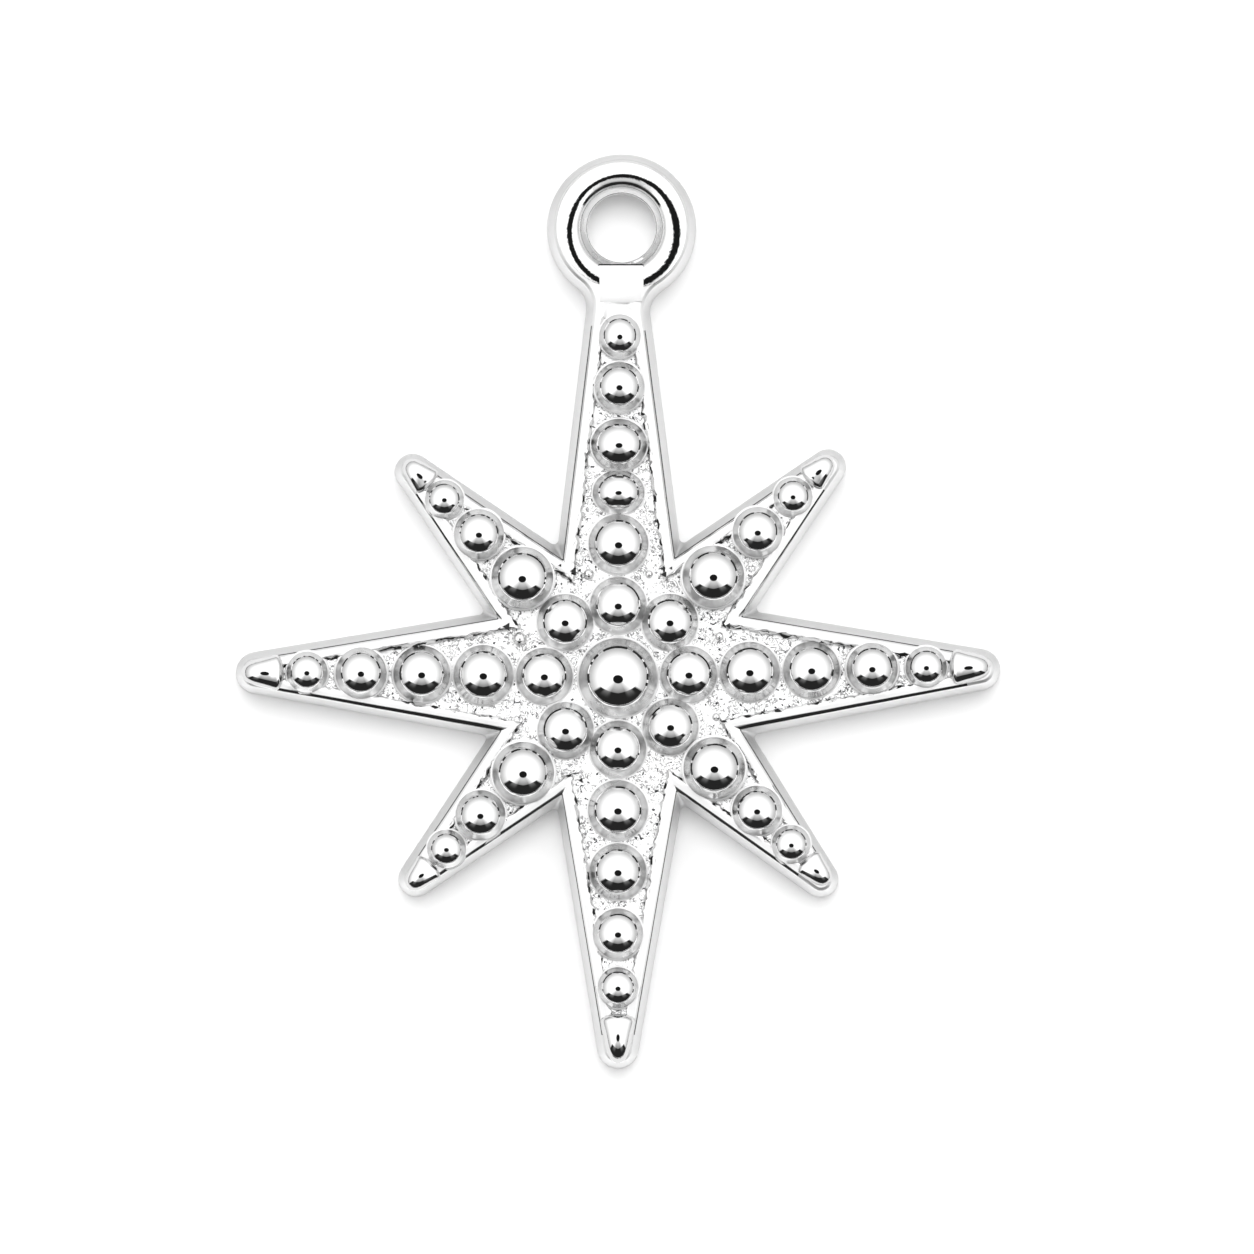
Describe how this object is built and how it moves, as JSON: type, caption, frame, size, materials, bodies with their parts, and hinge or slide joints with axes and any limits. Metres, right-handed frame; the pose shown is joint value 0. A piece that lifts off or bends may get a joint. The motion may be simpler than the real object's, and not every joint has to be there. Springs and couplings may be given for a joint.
{
  "type": "star pendant charm",
  "caption": "Flat-backed, eight-pointed star charm covered in domed beads, with a drilled eyelet above its top point to hang it from a jump ring.",
  "frame": {"origin": "middle of the star on its flat back", "axes": "+Z out of the beaded front, +Y towards the eyelet, +X to the right seen from the front"},
  "size_m": [0.0282, 0.0336, 0.0029],
  "materials": {
    "silver_plate": "bright silver plate over cast zinc alloy, polished beads and rims, grainy sunk field"
  },
  "bodies": {
    "root": {"star_pendant": "silver_plate"}
  },
  "joints": []
}
